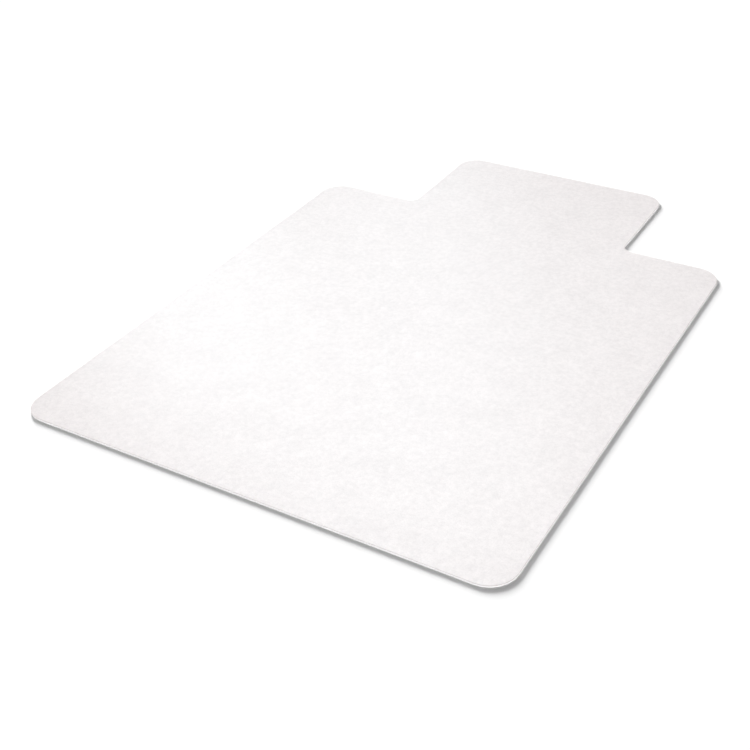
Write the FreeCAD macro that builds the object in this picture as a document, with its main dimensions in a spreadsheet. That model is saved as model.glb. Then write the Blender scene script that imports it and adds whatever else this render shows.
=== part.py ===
"""Lipped office chair mat for hard floors: a thin laminated vinyl sheet with a T-shaped outline.

The broad part carries the chair, and the narrower lip runs forward under the desk. Three layers
of the same outline are bonded face to face: a gripping backing on the floor, a stiff core, and an
embossed wear layer that the casters roll on. The cut edge is square, with its arrises rounded.

Frame: +Z up, +Y from the chair towards the lip, origin on the floor under the centre of the whole
outline. Millimetres.
"""

import FreeCAD
import Part
import Sketcher

import math
import os
from collections import namedtuple

DIMENSIONS = {
    # Outline, the same for every layer
    "overall_width": 914.4,
    "overall_length": 1219.2,
    "lip_width": 489.0,
    "lip_length": 254.0,
    "body_corner_radius": 48.0,
    "lip_corner_radius": 45.0,
    "notch_radius": 20.0,
    # Layers, from the floor up
    "backing_thickness": 0.4,
    "core_thickness": 2.1,
    "wear_thickness": 0.5,
    # Rounding of the cut edge, above and below
    "top_arris_radius": 0.4,
    "bottom_arris_radius": 0.2,
}

HALF_WIDTH = "Dimensions.overall_width / 2"
HALF_LIP = "Dimensions.lip_width / 2"
HALF_LENGTH = "Dimensions.overall_length / 2"
SHOULDER = "Dimensions.overall_length / 2 - Dimensions.lip_length"

# A straight line of the outline: the way it runs, and how far from the origin it lies, as a
# number for the first drawing and as the expression that holds it there.
Line = namedtuple("Line", "name constraint offset expression")

# Codes that the sketcher gives to the ends of an edge, and to the origin as an edge and an end
START, END = 1, 2
ORIGIN = (-1, 1)

UP = FreeCAD.Vector(0, 0, 1)
TOLERANCE = 1e-6


def make_dimensions(doc):
    """The spreadsheet of driving dimensions: a name and a plain number to a row."""
    sheet = doc.addObject("Spreadsheet::Sheet", "Dimensions")
    for row, (name, number) in enumerate(DIMENSIONS.items(), start=1):
        sheet.set(f"A{row}", name)
        sheet.set(f"B{row}", str(number))
        sheet.setAlias(f"B{row}", name)
    doc.recompute()


def outline_lines():
    """The eight straight lines of the outline, anticlockwise from the edge behind the chair."""
    half_width = DIMENSIONS["overall_width"] / 2
    half_lip = DIMENSIONS["lip_width"] / 2
    half_length = DIMENSIONS["overall_length"] / 2
    shoulder = half_length - DIMENSIONS["lip_length"]
    return (
        Line("front_edge", "Horizontal", -half_length, HALF_LENGTH),
        Line("right_side", "Vertical", half_width, HALF_WIDTH),
        Line("right_shoulder", "Horizontal", shoulder, SHOULDER),
        Line("lip_right_side", "Vertical", half_lip, HALF_LIP),
        Line("lip_end", "Horizontal", half_length, HALF_LENGTH),
        Line("lip_left_side", "Vertical", -half_lip, HALF_LIP),
        Line("left_shoulder", "Horizontal", shoulder, SHOULDER),
        Line("left_side", "Vertical", -half_width, HALF_WIDTH),
    )


# The radius of the corner that comes before each line
CORNER_RADII = (
    "body_corner_radius",
    "body_corner_radius",
    "body_corner_radius",
    "notch_radius",
    "lip_corner_radius",
    "lip_corner_radius",
    "notch_radius",
    "body_corner_radius",
)


def crossing(first, second):
    """The sharp corner where two neighbouring lines would meet."""
    if first.constraint == "Horizontal":
        return FreeCAD.Vector(second.offset, first.offset, 0)
    return FreeCAD.Vector(first.offset, second.offset, 0)


def rounded_corner(before, point, after, radius):
    """The quarter circle that rounds a corner, where it is entered and left, and if it turns left."""
    arriving = (point - before).normalize()
    leaving = (after - point).normalize()
    entry = point - arriving * radius
    departure = point + leaving * radius
    centre = entry + leaving * radius
    turns_left = arriving.cross(leaving).dot(UP) > 0
    spoke = (entry if turns_left else departure) - centre
    angle = math.atan2(spoke.y, spoke.x)
    arc = Part.ArcOfCircle(Part.Circle(centre, UP, radius), angle, angle + math.pi / 2)
    return arc, entry, departure, turns_left


def hold_line(sketch, edge, line):
    """Fix a line's direction, and its distance from the origin as the sheet gives it."""
    sketch.addConstraint(Sketcher.Constraint(line.constraint, edge))
    kind = "DistanceY" if line.constraint == "Horizontal" else "DistanceX"
    ends = (edge, START, *ORIGIN) if line.offset < 0 else (*ORIGIN, edge, START)
    index = sketch.addConstraint(Sketcher.Constraint(kind, *ends, abs(line.offset)))
    sketch.renameConstraint(index, line.name)
    sketch.setExpression(f"Constraints.{line.name}", line.expression)


def hold_corner(sketch, arc_edge, line_before, line_after, turns_left, name, radius_name):
    """Join an arc smoothly to the lines on both sides of it, with the sheet's radius."""
    entered, left = (START, END) if turns_left else (END, START)
    sketch.addConstraint(
        [
            Sketcher.Constraint("Tangent", line_before, END, arc_edge, entered),
            Sketcher.Constraint("Tangent", line_after, START, arc_edge, left),
        ]
    )
    radius = Sketcher.Constraint("Radius", arc_edge, DIMENSIONS[radius_name])
    index = sketch.addConstraint(radius)
    sketch.renameConstraint(index, name)
    sketch.setExpression(f"Constraints.{name}", f"Dimensions.{radius_name}")


def draw_outline(sketch):
    """The closed T-shaped outline: eight straight lines joined by eight quarter circles."""
    lines = outline_lines()
    count = len(lines)
    points = [crossing(lines[i - 1], lines[i]) for i in range(count)]
    corners = [
        rounded_corner(points[i - 1], points[i], points[(i + 1) % count], DIMENSIONS[CORNER_RADII[i]])
        for i in range(count)
    ]
    line_edges = []
    for i in range(count):
        departure = corners[i][2]
        next_entry = corners[(i + 1) % count][1]
        line_edges.append(sketch.addGeometry(Part.LineSegment(departure, next_entry)))
    arc_edges = [sketch.addGeometry(arc) for arc, _, _, _ in corners]
    for edge, line in zip(line_edges, lines):
        hold_line(sketch, edge, line)
    for i in range(count):
        turns_left = corners[i][3]
        name = f"corner_before_{lines[i].name}"
        hold_corner(
            sketch, arc_edges[i], line_edges[i - 1], line_edges[i], turns_left, name, CORNER_RADII[i]
        )


def make_layer(doc, label, thickness_name, names_below):
    """One layer of the laminate, padded from the outline and lying on the layers below it."""
    body = doc.addObject("PartDesign::Body", label)
    floor_plane = next(f for f in body.Origin.OriginFeatures if f.Role == "XY_Plane")
    sketch = body.newObject("Sketcher::SketchObject", f"{label}_outline")
    sketch.AttachmentSupport = [(floor_plane, "")]
    sketch.MapMode = "FlatFace"
    draw_outline(sketch)
    pad = body.newObject("PartDesign::Pad", f"{label}_pad")
    pad.Profile = sketch
    pad.setExpression("Length", f"Dimensions.{thickness_name}")
    if names_below:
        height = " + ".join(f"Dimensions.{name}" for name in names_below)
        body.setExpression("Placement.Base.z", height)
    doc.recompute()
    return body


def round_arris(body, height, radius_name):
    """Round the long edge that runs right round a layer at one height of its own frame."""
    pad = body.Tip
    names = [
        f"Edge{number}"
        for number, edge in enumerate(pad.Shape.Edges, start=1)
        if all(abs(vertex.Z - height) < TOLERANCE for vertex in edge.Vertexes)
    ]
    fillet = body.newObject("PartDesign::Fillet", f"{body.Label}_arris")
    fillet.Base = (pad, names)
    fillet.setExpression("Radius", f"Dimensions.{radius_name}")
    body.Tip = fillet


def check_document(doc, layers):
    """Stop before anything is written if any object failed or any layer isn't one sound solid."""
    for item in doc.Objects:
        if "Invalid" in item.State or "Error" in item.State:
            raise RuntimeError(f"{item.Label} did not recompute: {item.State}")
    for layer in layers:
        shape = layer.Shape
        if shape.isNull() or not shape.isValid() or len(shape.Solids) != 1:
            raise RuntimeError(f"{layer.Label} is not one valid solid")


def main():
    doc = FreeCAD.newDocument("chair_mat")
    make_dimensions(doc)

    backing = make_layer(doc, "grip_backing", "backing_thickness", [])
    core = make_layer(doc, "core_sheet", "core_thickness", ["backing_thickness"])
    wear = make_layer(
        doc, "wear_layer", "wear_thickness", ["backing_thickness", "core_thickness"]
    )
    round_arris(backing, 0, "bottom_arris_radius")
    round_arris(wear, DIMENSIONS["wear_thickness"], "top_arris_radius")
    doc.recompute()

    layers = (backing, core, wear)
    check_document(doc, layers)
    os.makedirs("parts", exist_ok=True)
    for layer in layers:
        layer.Shape.exportStep(f"parts/{layer.Label}.step")
        box = layer.Shape.BoundBox
        print(f"{layer.Label}: {layer.Shape.Volume:.0f} mm3, z {box.ZMin:.3f} to {box.ZMax:.3f}")


main()
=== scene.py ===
"""Lipped chair mat: milky white vinyl with a fine embossed grain, lying on a white floor.

Metres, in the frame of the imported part: +Z up, +Y towards the lip, origin on the floor. Each layer
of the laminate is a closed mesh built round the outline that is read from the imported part.
"""

import math
from collections import namedtuple

import bpy
import numpy as np
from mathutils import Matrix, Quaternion, Vector, noise


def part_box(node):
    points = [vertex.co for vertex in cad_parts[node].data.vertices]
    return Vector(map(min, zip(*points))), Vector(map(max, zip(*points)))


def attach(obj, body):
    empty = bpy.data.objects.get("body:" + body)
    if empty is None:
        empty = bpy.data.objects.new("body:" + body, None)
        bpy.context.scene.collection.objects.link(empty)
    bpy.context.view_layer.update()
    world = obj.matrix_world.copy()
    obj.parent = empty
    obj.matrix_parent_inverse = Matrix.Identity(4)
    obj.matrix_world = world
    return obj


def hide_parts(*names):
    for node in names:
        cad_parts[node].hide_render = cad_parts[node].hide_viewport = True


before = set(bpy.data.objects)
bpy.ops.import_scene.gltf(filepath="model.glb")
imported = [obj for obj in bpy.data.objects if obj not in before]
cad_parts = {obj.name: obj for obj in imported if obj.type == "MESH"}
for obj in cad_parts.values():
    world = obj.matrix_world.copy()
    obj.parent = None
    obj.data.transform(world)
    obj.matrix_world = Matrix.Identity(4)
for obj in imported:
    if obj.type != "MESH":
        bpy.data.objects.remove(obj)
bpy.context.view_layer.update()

MM = 0.001

# The one body of a part without joints
BODY = "root"

FINE_CELL = 3.5 * MM
COARSE_CELL = 12 * MM

# How far a grid's lines bend round a notch, in notch radii
NOTCH_REACH = 2.5

# Rounding of the long edges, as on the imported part: radius and number of steps, above and below
TOP_ARRIS = (0.4 * MM, 5)
BOTTOM_ARRIS = (0.2 * MM, 4)

# Faces that meet at more than this angle, in degrees, keep a sharp edge between them
SHARP_ANGLE = 40

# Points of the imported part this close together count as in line
NEAR = 0.01 * MM

# Slack for rounding errors, as a share of a cell or a radius
SLACK = 1e-6

# ---------------------------------------------------------------------------------------------
# The outline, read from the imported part

# Half sizes and radii of a T-shaped outline, the same on both sides of x = 0. It runs from
# -half_length to half_length along y, and the broad part ends at y = shoulder.
Outline = namedtuple("Outline", "half_width half_length half_lip shoulder body_r lip_r notch_r")


def read_outline(node):
    """The outline of a flat node, from where its straight sides begin and end."""
    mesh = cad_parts[node].data
    points = np.empty(len(mesh.vertices) * 3, np.float32)
    mesh.vertices.foreach_get("co", points)
    x, y, _ = points.reshape(-1, 3).T
    half_width, half_length = x.max(), y.max()
    body_side_y = y[x > half_width - NEAR]
    lip_end_x = x[y > half_length - NEAR]
    body_r = body_side_y.min() - y.min()
    shoulder = body_side_y.max() + body_r
    half_lip = x[y > (shoulder + half_length) / 2].max()
    lip_side_y = y[(y > shoulder + NEAR) & (abs(x - half_lip) < NEAR)]
    lip_r = half_lip - lip_end_x.max()
    notch_r = lip_side_y.min() - shoulder
    sizes = (half_width, half_length, half_lip, shoulder, body_r, lip_r, notch_r)
    return Outline(*(float(size) for size in sizes))


def inset(outline, distance):
    """The outline moved in from every side, which tightens its corners and widens its notches."""
    return Outline(
        outline.half_width - distance,
        outline.half_length - distance,
        outline.half_lip - distance,
        outline.shoulder - distance,
        outline.body_r - distance,
        outline.lip_r - distance,
        outline.notch_r + distance,
    )


# ---------------------------------------------------------------------------------------------
# Meshes


def outline_stops(outline):
    """Places along x and along y where a side of the outline lies or a corner begins."""
    o = outline
    right = [0, o.half_lip - o.lip_r, o.half_lip, o.half_lip + o.notch_r]
    right += [o.half_width - o.body_r, o.half_width]
    x_stops = [-x for x in reversed(right[1:])] + right
    y_stops = [-o.half_length, -o.half_length + o.body_r, o.shoulder - o.body_r, o.shoulder]
    y_stops += [o.shoulder + o.notch_r, o.half_length - o.lip_r, o.half_length]
    return x_stops, y_stops


def grid_lines(stops, cell):
    """Places along one axis that take in every stop, with gaps of about one cell or less."""
    places = [stops[0]]
    for low, high in zip(stops, stops[1:]):
        count = max(1, math.ceil((high - low) / cell - SLACK))
        places.extend(np.linspace(low, high, count + 1)[1:])
    return np.array(places)


def round_block(points, centre, towards, radius, reach):
    """Bend the square lines of a grid into circles about a corner's centre, in one quadrant.

    With reach 1 this rounds a corner that points outwards: only the block inside the radius bends.
    With a larger reach it fills a notch: lines bend outside the radius, less and less up to reach
    times the radius.
    """
    local = (points - centre) / radius * towards
    square = local.max(axis=1)
    inside = (local.min(axis=1) > SLACK) & (square < reach + SLACK)
    if reach > 1:
        inside &= square > 1 - SLACK
    a, b = local[inside].T
    ring = square[inside]
    angle = np.where(a >= b, math.pi / 4 * b / ring, math.pi / 2 - math.pi / 4 * a / ring)
    circle = np.column_stack([ring * np.cos(angle), ring * np.sin(angle)])
    bend = np.ones_like(ring)
    if reach > 1:
        share = np.clip((reach - ring) / (reach - 1), 0, 1)
        bend = share * share * (3 - 2 * share)
    local[inside] += (circle - local[inside]) * bend[:, None]
    points[inside] = centre + local[inside] * towards * radius


def round_corners(points, outline):
    """Bend a grid's square corners and notches to the outline's circles."""
    o = outline
    corners = (
        (o.half_width, -o.half_length, -1, o.body_r),
        (o.half_width, o.shoulder, 1, o.body_r),
        (o.half_lip, o.half_length, 1, o.lip_r),
    )
    for side in (-1, 1):
        for x, y, up, radius in corners:
            towards = np.array([side, up])
            round_block(points, np.array([side * x, y]) - towards * radius, towards, radius, 1)
        towards = np.array([-side, -1])
        centre = np.array([side * o.half_lip, o.shoulder]) - towards * o.notch_r
        round_block(points, centre, towards, o.notch_r, NOTCH_REACH)


def tee_grid(outline, cell):
    """Points and four-sided cells that fill an outline, with the cells anticlockwise."""
    xs, ys = (grid_lines(stops, cell) for stops in outline_stops(outline))
    points = np.array([(x, y) for y in ys for x in xs])
    row = len(xs)
    cells = []
    for j, y in enumerate((ys[:-1] + ys[1:]) / 2):
        for i, x in enumerate((xs[:-1] + xs[1:]) / 2):
            if y < outline.shoulder or abs(x) < outline.half_lip:
                first = j * row + i
                cells.append((first, first + 1, first + row + 1, first + row))
    used, cells = np.unique(np.array(cells), return_inverse=True)
    points, cells = points[used], cells.reshape(-1, 4)
    round_corners(points, outline)
    return points, cells


def rim_of(points, cells):
    """The points on the edge of a grid, in anticlockwise order, and their outward directions."""
    after = {}
    for cell in cells.tolist():
        for a, b in zip(cell, cell[1:] + cell[:1]):
            after[(a, b)] = b
    following = {a: b for a, b in after if (b, a) not in after}
    start = next(iter(following))
    order = [start]
    while following[order[-1]] != start:
        order.append(following[order[-1]])
    loop = points[order]
    along = np.roll(loop, -1, axis=0) - np.roll(loop, 1, axis=0)
    outward = np.column_stack([along[:, 1], -along[:, 0]])
    return order, outward / np.linalg.norm(outward, axis=1)[:, None]


def arris(radius, steps):
    """A quarter round, as (distance in from the side, distance from the face) pairs."""
    turns = [math.pi / 2 * step / steps for step in range(steps + 1)]
    return [(radius * (1 - math.sin(turn)), radius * (1 - math.cos(turn))) for turn in turns]


def sheet_mesh(name, outline, face_z, far_z, profile, relief, cell):
    """A closed sheet: a gridded face with relief, a profiled side, and a plain far face.

    The profile lists (distance in from the side, distance from the face) pairs, and relief gives
    how far behind its plane the face lies at a point. The grid stops one cell short of the side.
    """
    points, cells = tee_grid(inset(outline, cell), cell)
    order, outward = rim_of(points, cells)
    inwards = math.copysign(1, far_z - face_z)
    depth = np.array([relief(x, y) for x, y in points])
    rings = [np.column_stack([points, face_z + inwards * depth])]
    for distance_in, drop in profile + [(0.0, abs(far_z - face_z))]:
        edge = points[order] + outward * (cell - distance_in)
        rings.append(np.column_stack([edge, np.full(len(edge), face_z + inwards * drop)]))
    vertices = np.vstack(rings)

    inner = np.array(order)
    faces = cells.tolist()
    first = len(points)
    for _ in rings[1:]:
        outer = np.arange(first, first + len(order))
        quads = np.column_stack([inner, outer, np.roll(outer, -1), np.roll(inner, -1)])
        faces.extend(quads.tolist())
        inner = outer
        first += len(order)
    faces.append(inner[::-1].tolist())
    if inwards > 0:
        faces = [face[::-1] for face in faces]

    mesh = bpy.data.meshes.new(name)
    mesh.from_pydata(vertices.tolist(), [], faces)
    mesh.validate()
    mesh.shade_smooth()
    mesh.set_sharp_from_angle(angle=math.radians(SHARP_ANGLE))
    return mesh


# ---------------------------------------------------------------------------------------------
# Relief

# The random emboss of the upper face: pebbles of two sizes, and a slow swell of their level
EMBOSS_DEPTH = 0.045 * MM
PEBBLE_SIZES = (9 * MM, 4.6 * MM)
PEBBLE_SHARE = 0.8
SWELL_SIZE = 38 * MM
SWELL_SHARE = 0.3

# The shallower roughness of the underside, from another slice of the same noise
GRIP_DEPTH = 0.03 * MM
GRIP_SIZE = 7 * MM
GRIP_SLICE = 7.0


def embossed_relief(x, y):
    """Depth of the random emboss on the upper face: soft pebbles of uneven size."""
    place = Vector((x, y, 0.0))
    pebbles = sum(noise.noise(place / size) for size in PEBBLE_SIZES)
    level = PEBBLE_SHARE * pebbles + SWELL_SHARE * noise.noise(place / SWELL_SIZE)
    return (0.5 + 0.5 * max(-1.0, min(1.0, level))) * EMBOSS_DEPTH


def gripping_relief(x, y):
    """Depth of the slight, even roughness of the underside."""
    place = Vector((x, y, GRIP_SLICE))
    return (0.5 + 0.5 * noise.noise(place / GRIP_SIZE)) * GRIP_DEPTH


def no_relief(x, y):
    return 0.0


# ---------------------------------------------------------------------------------------------
# Materials

VINYL_IOR = 1.53
BACKING_IOR = 1.5

# Colours of the embossed vinyl, linear, between which its grain varies
ROSY_SHADE = (0.690, 0.650, 0.648, 1.0)
ROSY_LIGHT = (0.812, 0.769, 0.766, 1.0)

# How upright a surface's normal is where the surface counts as level, and where as steep
LEVEL = 0.99
STEEP = 0.85

# Strength of the painted light on the upper two layers' cut edges: an emission that stands in for
# the light a translucent sheet lets out there
WEAR_PAINTED_GLOW = 0.38
CORE_PAINTED_GLOW = 0.52

# How much longer than wide the knife's marks are on the cut edge
DRAG_STRETCH = 12.5

# Most of a noise's values lie between these
NOISE_LOW, NOISE_HIGH = 0.3, 0.7


class Nodes:
    """Short calls for building a material's nodes."""

    def __init__(self, name):
        self.material = bpy.data.materials.new(name)
        self.material.use_nodes = True
        self.tree = self.material.node_tree
        self.surface = self.tree.nodes["Principled BSDF"]

    def add(self, kind, inputs=None, **settings):
        node = self.tree.nodes.new(kind)
        for key, setting in settings.items():
            setattr(node, key, setting)
        for key, given in (inputs or {}).items():
            self.put(node.inputs[key], given)
        return node

    def put(self, socket, given):
        if isinstance(given, bpy.types.NodeSocket):
            self.tree.links.new(given, socket)
        else:
            socket.default_value = given

    def set_surface(self, **inputs):
        """Set inputs of the surface, with _ for each space in their names."""
        for key, given in inputs.items():
            self.put(self.surface.inputs[key.replace("_", " ")], given)

    def position(self):
        """The place of a point on the mat, in metres."""
        return self.add("ShaderNodeNewGeometry").outputs["Position"]

    def noise(self, size, detail=2.0, roughness=0.5, at=None):
        """Soft random values from 0 to 1, of about the given size."""
        inputs = {"Scale": 1 / size, "Detail": detail, "Roughness": roughness}
        inputs["Vector"] = at or self.position()
        return self.add("ShaderNodeTexNoise", inputs).outputs["Fac"]

    def cells(self, size):
        """The distance to the middle of the nearest of many random cells."""
        inputs = {"Scale": 1 / size, "Vector": self.position()}
        return self.add("ShaderNodeTexVoronoi", inputs).outputs["Distance"]

    def spread(self, given, low, high, to_low=0.0, to_high=1.0):
        """A value taken from one range to another, and held there."""
        inputs = {0: given, 1: low, 2: high, 3: to_low, 4: to_high}
        return self.add("ShaderNodeMapRange", inputs).outputs["Result"]

    def stretched(self, given, low=0.0, high=1.0):
        """A noise's usual values, stretched to run from low to high."""
        return self.spread(given, NOISE_LOW, NOISE_HIGH, low, high)

    def maths(self, operation, a, b):
        return self.add("ShaderNodeMath", {0: a, 1: b}, operation=operation).outputs[0]

    def weighted(self, *parts):
        """The sum of values, each given with its weight."""
        total = 0.0
        for given, weight in parts:
            total = self.maths("ADD", total, self.maths("MULTIPLY", given, weight))
        return total

    def mixed(self, share, a, b):
        """A colour between two, by share. The node's colours have sockets 6, 7 and 2."""
        node = self.add("ShaderNodeMix", data_type="RGBA")
        self.put(node.inputs["Factor"], share)
        self.put(node.inputs[6], a)
        self.put(node.inputs[7], b)
        return node.outputs[2]

    def bump(self, height, distance, over=None):
        inputs = {"Height": height, "Distance": distance, "Strength": 1.0}
        if over is not None:
            inputs["Normal"] = over
        return self.add("ShaderNodeBump", inputs).outputs["Normal"]

    def painted_edge_glow(self, colour, strength):
        """Painted light: an emission wherever the surface is steep, standing in for the light a
        translucent sheet lets out at its edge.
        """
        normal = self.add("ShaderNodeNewGeometry").outputs["Normal"]
        upright = self.add("ShaderNodeSeparateXYZ", {"Vector": normal}).outputs["Z"]
        height = self.maths("ABSOLUTE", upright, 0.0)
        glow = self.spread(height, STEEP, LEVEL, strength, 0.0)
        self.set_surface(Emission_Color=colour, Emission_Strength=glow)


def grey(level, warmth=0.0):
    """A near-neutral colour: a linear level, with red raised and green and blue lowered a little."""
    return (level * (1 + warmth), level * (1 - warmth / 2), level * (1 - warmth / 2), 1.0)


def embossed_vinyl():
    """Milky vinyl with a fine random grain: satin, faintly mottled and slightly rosy."""
    n = Nodes("embossed_vinyl")
    clouds = n.noise(60 * MM, detail=3.0)
    mottle = n.noise(9 * MM, detail=4.0, roughness=0.65)
    grain = n.noise(2.2 * MM, detail=3.0, roughness=0.75)
    pits = n.cells(1.6 * MM)
    tone = n.weighted((mottle, 0.45), (grain, 0.4), (clouds, 0.15))
    # A sum of noises keeps closer to the middle than any one of them
    colour = n.mixed(n.spread(tone, 0.38, 0.62), ROSY_SHADE, ROSY_LIGHT)
    n.set_surface(
        Base_Color=colour,
        Roughness=n.stretched(mottle, 0.32, 0.42),
        IOR=VINYL_IOR,
        Normal=n.bump(pits, 0.06 * MM, over=n.bump(grain, 0.16 * MM)),
    )
    # Painted light: the cut edge glows by emission, standing in for light the translucent vinyl lets
    # out there
    n.painted_edge_glow(colour, WEAR_PAINTED_GLOW)
    return n.material


def core_vinyl():
    """Plain stiff vinyl, seen at the cut edge, with faint drag marks from the knife."""
    n = Nodes("core_vinyl")
    clouds = n.noise(25 * MM)
    drawn_up = {"Vector": n.position(), "Scale": (1, 1, 1 / DRAG_STRETCH)}
    place = n.add("ShaderNodeMapping", drawn_up).outputs["Vector"]
    drag = n.noise(0.9 * MM, detail=3.0, roughness=0.6, at=place)
    colour = n.mixed(n.stretched(clouds), grey(0.88, 0.006), grey(0.94, 0.004))
    n.set_surface(
        Base_Color=colour,
        Roughness=n.stretched(drag, 0.25, 0.4),
        IOR=VINYL_IOR,
        Normal=n.bump(drag, 0.06 * MM),
    )
    # Painted light: the cut edge glows by emission, standing in for light the translucent vinyl lets
    # out there
    n.painted_edge_glow(colour, CORE_PAINTED_GLOW)
    return n.material


def backing_vinyl():
    """Softer, matt vinyl with a fine even grain that grips the floor."""
    n = Nodes("backing_vinyl")
    clouds = n.noise(45 * MM, detail=3.0)
    speckle = n.noise(3 * MM, detail=3.0, roughness=0.6)
    grain = n.cells(1.3 * MM)
    n.set_surface(
        Base_Color=n.mixed(n.stretched(clouds), grey(0.68, 0.008), grey(0.76, 0.004)),
        Roughness=n.stretched(speckle, 0.6, 0.78),
        IOR=BACKING_IOR,
        Normal=n.bump(grain, 0.12 * MM),
    )
    return n.material


def white_floor():
    """A matt, nearly even white with no shine."""
    n = Nodes("white_floor")
    clouds = n.noise(0.8)
    colour = n.mixed(n.stretched(clouds), grey(0.93), grey(0.95))
    n.set_surface(Base_Color=colour, Roughness=0.9, Specular_IOR_Level=0.0)
    return n.material


# ---------------------------------------------------------------------------------------------
# The mat


def add_layer(node, mesh, material):
    """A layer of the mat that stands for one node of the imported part."""
    mesh.materials.append(material)
    layer = bpy.data.objects.new(mesh.name, mesh)
    bpy.context.scene.collection.objects.link(layer)
    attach(layer, BODY)
    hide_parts(node)


def build_mat():
    """The three layers, each between the heights of its node and with the outline they share."""
    cell = FINE_CELL
    outline = read_outline("core_sheet")

    low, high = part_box("wear_layer")
    side = arris(*TOP_ARRIS)
    wear = sheet_mesh("textured_top", outline, high.z, low.z, side, embossed_relief, cell)
    add_layer("wear_layer", wear, embossed_vinyl())

    low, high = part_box("core_sheet")
    square = [(0.0, 0.0)]
    core = sheet_mesh("core_panel", outline, high.z, low.z, square, no_relief, COARSE_CELL)
    add_layer("core_sheet", core, core_vinyl())

    low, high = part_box("grip_backing")
    side = arris(*BOTTOM_ARRIS)
    backing = sheet_mesh("gripping_back", outline, low.z, high.z, side, gripping_relief, cell)
    add_layer("grip_backing", backing, backing_vinyl())


# ---------------------------------------------------------------------------------------------
# Floor and light

# Half the side of the square floor, and how far below the mat it lies, clear of its lower face
FLOOR_REACH = 60.0
FLOOR_DROP = 0.02 * MM

# Strength of the white surroundings: as a light, and as the camera sees them beyond the floor
SURROUNDINGS = 0.16
BACKDROP = 1.1

# Distant soft lights: name, azimuth, elevation and apparent width in degrees, and strength
SUNS = (
    ("low_key", 228, 9.8, 17, 14.0),
    ("high_key", 228, 28, 30, 1.2),
    ("front_fill", 44, 8, 14, 1.3),
)

# Soft boxes behind the mat: the spot on the mat where the camera sees each one's reflection, and
# its power in watts. Their light is a little cool.
GLOWS = (
    ("glow_left", (-0.31, -0.32), 11.4),
    ("glow_front", (0.32, -0.58), 7.8),
    ("glow_middle", (-0.08, 0.10), 7.8),
    ("glow_right", (0.42, -0.05), 4.5),
)
GLOW_COLOUR = (0.80, 0.95, 0.98)
GLOW_SIZE = 1.0

# How far each soft box stands from its spot, in distances from the spot to the camera
GLOW_REACH = 1.2


def add_floor():
    reach = FLOOR_REACH
    corners = [(-reach, -reach, 0), (reach, -reach, 0), (reach, reach, 0), (-reach, reach, 0)]
    mesh = bpy.data.meshes.new("floor")
    mesh.from_pydata(corners, [], [(0, 1, 2, 3)])
    mesh.materials.append(white_floor())
    floor = bpy.data.objects.new("floor", mesh)
    floor.location.z = -FLOOR_DROP
    bpy.context.scene.collection.objects.link(floor)


def direction(azimuth, elevation):
    """The unit vector from the mat towards a camera or lamp: azimuth 0 is in front, at -Y."""
    a, e = math.radians(azimuth), math.radians(elevation)
    return Vector((math.sin(a) * math.cos(e), -math.cos(a) * math.cos(e), math.sin(e)))


def aim(thing, towards):
    thing.rotation_mode = "QUATERNION"
    thing.rotation_quaternion = towards.to_track_quat("-Z", "Y")


def add_surroundings():
    """White all round: weak as a light, and full white where the camera sees past the floor."""
    world = bpy.data.worlds.new("studio")
    world.use_nodes = True
    tree = world.node_tree
    background = tree.nodes["Background"]
    background.inputs["Color"].default_value = (1, 1, 1, 1)
    seen = tree.nodes.new("ShaderNodeLightPath").outputs["Is Camera Ray"]
    strength = tree.nodes.new("ShaderNodeMapRange")
    strength.inputs["To Min"].default_value = SURROUNDINGS
    strength.inputs["To Max"].default_value = BACKDROP
    tree.links.new(seen, strength.inputs["Value"])
    tree.links.new(strength.outputs["Result"], background.inputs["Strength"])
    bpy.context.scene.world = world


def add_sun(name, azimuth, elevation, width, energy):
    """A distant soft light that doesn't show in reflections."""
    data = bpy.data.lights.new(name, "SUN")
    data.energy = energy
    data.angle = math.radians(width)
    sun = bpy.data.objects.new(name, data)
    sun.visible_glossy = False
    aim(sun, -direction(azimuth, elevation))
    bpy.context.scene.collection.objects.link(sun)


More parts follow.
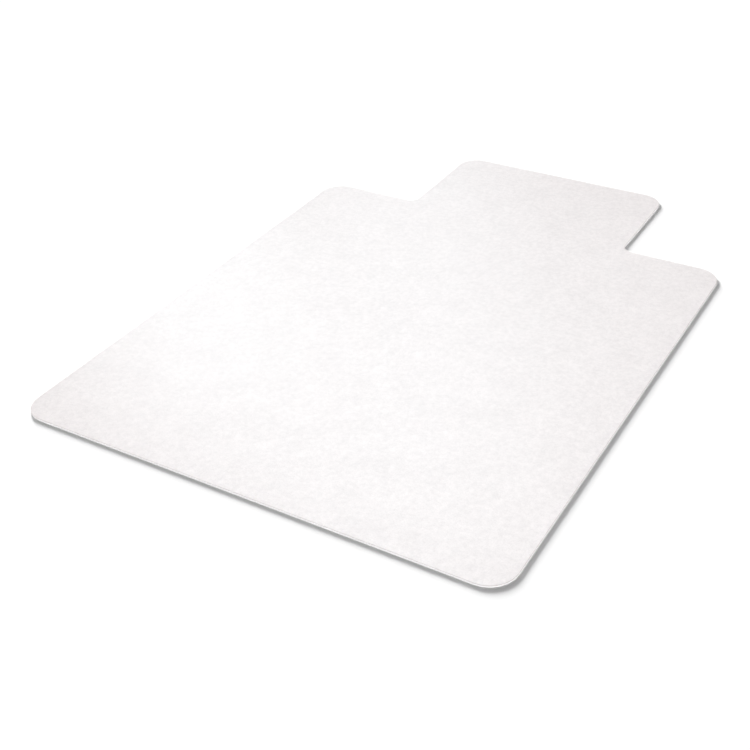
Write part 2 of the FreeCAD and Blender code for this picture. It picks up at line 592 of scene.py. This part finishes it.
def add_glow(name, spot, power):
    """A round soft box that only shows in reflections: the camera sees it mirrored at the spot."""
    seen = Vector((*spot, 0.0))
    mirrored_camera = camera_place() * Vector((1, 1, -1))
    data = bpy.data.lights.new(name, "AREA")
    data.shape = "DISK"
    data.size = GLOW_SIZE
    data.energy = power
    data.color = GLOW_COLOUR
    box = bpy.data.objects.new(name, data)
    box.location = seen + (seen - mirrored_camera) * GLOW_REACH
    box.visible_diffuse = False
    aim(box, seen - box.location)
    bpy.context.scene.collection.objects.link(box)


def add_light():
    add_surroundings()
    for sun in SUNS:
        add_sun(*sun)
    for glow in GLOWS:
        add_glow(*glow)


# ---------------------------------------------------------------------------------------------
# Camera

# The point it looks at, where it stands round that point, and how it is turned and shifted.
# Angles are in degrees, the lens in millimetres, and the shift in widths of the picture.
CAMERA_TARGET = Vector((0.1400, -0.1843, 0.0))
CAMERA_DISTANCE = 1.9995
CAMERA_AZIMUTH, CAMERA_ELEVATION, CAMERA_ROLL = 29.485, 35.405, -1.543
CAMERA_LENS = 55.17
CAMERA_SHIFT = -0.1

# Within this distance the camera counts as standing in its own place
CAMERA_SLACK = 1 * MM


def camera_place():
    return CAMERA_TARGET + direction(CAMERA_AZIMUTH, CAMERA_ELEVATION) * CAMERA_DISTANCE


def shift_lens(data, camera):
    """Shift the lens while the camera stands in its own place, and centre it for any other view."""
    driver = data.driver_add("shift_x").driver
    variable = driver.variables.new()
    variable.name = "x"
    variable.type = "TRANSFORMS"
    variable.targets[0].id = camera
    variable.targets[0].transform_type = "LOC_X"
    at_home = f"(abs(x - {camera.location.x:.5f}) < {CAMERA_SLACK})"
    driver.expression = f"{CAMERA_SHIFT} * {at_home}"


def add_camera():
    """A camera in front and to the right of the mat, with its picture shifted to centre it."""
    data = bpy.data.cameras.new("camera")
    data.lens = CAMERA_LENS
    camera = bpy.data.objects.new("camera", data)
    camera.location = camera_place()
    aim(camera, CAMERA_TARGET - camera.location)
    roll = Quaternion((0, 0, 1), math.radians(CAMERA_ROLL))
    camera.rotation_quaternion = camera.rotation_quaternion @ roll
    bpy.context.scene.collection.objects.link(camera)
    bpy.context.scene.camera = camera
    shift_lens(data, camera)


build_mat()
add_floor()
add_light()
add_camera()
bpy.context.scene.view_settings.view_transform = "Standard"
